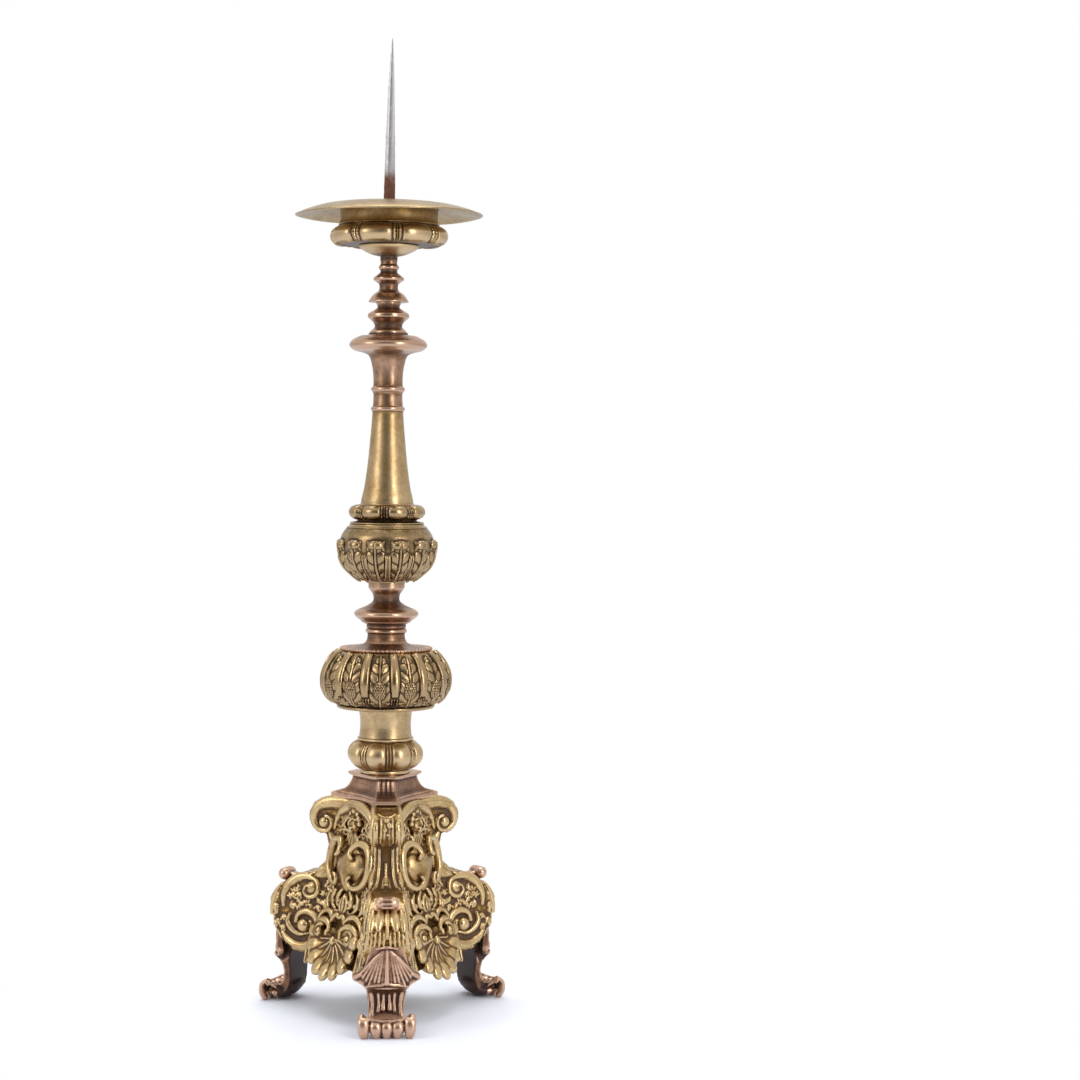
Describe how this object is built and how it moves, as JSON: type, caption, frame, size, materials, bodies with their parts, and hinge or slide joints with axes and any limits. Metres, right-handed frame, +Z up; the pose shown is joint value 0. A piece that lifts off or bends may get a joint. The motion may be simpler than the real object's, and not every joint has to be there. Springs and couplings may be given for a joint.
{
  "type": "tripod pricket candlestick",
  "caption": "Tall altar candlestick: scrolled three-cornered base on lobed feet, leafed knops and a tapered column, with a loose drip pan round an iron pricket.",
  "frame": {"origin": "on the stem's axis, in the plane that the three feet stand on", "axes": "+Z up along the stem; -Y points at the foot of leg 1; +X to the right seen from leg 1"},
  "size_m": [0.254, 0.2264, 0.967],
  "materials": {
    "cast_brass": "cast and chased brass, dark patina in the recesses",
    "sheet_brass": "spun sheet brass, dull",
    "copper_alloy": "copper-rich cast alloy, browned",
    "forged_iron": "forged iron, dark, with a little rust",
    "steel_screw": "turned steel screws, dull"
  },
  "bodies": {
    "candlestick": {"pricket_rod": "forged_iron", "pan_cup": "cast_brass", "pan_saucer": "cast_brass", "upper_neck": "copper_alloy", "lower_neck": "copper_alloy", "column_neck": "copper_alloy", "column": "cast_brass", "lobed_collar": "cast_brass", "upper_knop": "cast_brass", "mid_baluster": "copper_alloy", "knop_cover": "copper_alloy", "lower_knop": "cast_brass", "lower_spool": "cast_brass", "lobed_knop": "cast_brass", "tripod_cap": "copper_alloy", "side_panel_1": "cast_brass", "side_panel_2": "cast_brass", "side_panel_3": "cast_brass", "scroll_bracket_1": "cast_brass", "scroll_bracket_2": "cast_brass", "scroll_bracket_3": "cast_brass", "corner_leaf_1": "cast_brass", "corner_leaf_2": "cast_brass", "corner_leaf_3": "cast_brass", "leg_1": "copper_alloy", "leg_2": "copper_alloy", "leg_3": "copper_alloy", "leg_screws": "steel_screw", "leaf_pins": "cast_brass", "tie_spider": "forged_iron", "tie_washer": "forged_iron", "tie_nut": "forged_iron"},
    "drip_pan": {"drip_pan": "sheet_brass"}
  },
  "joints": [
    {"name": "pan_lift", "type": "slide", "parent": "candlestick", "child": "drip_pan", "axis": [0, 0, 1], "range_m": [0, 0.175]}
  ]
}
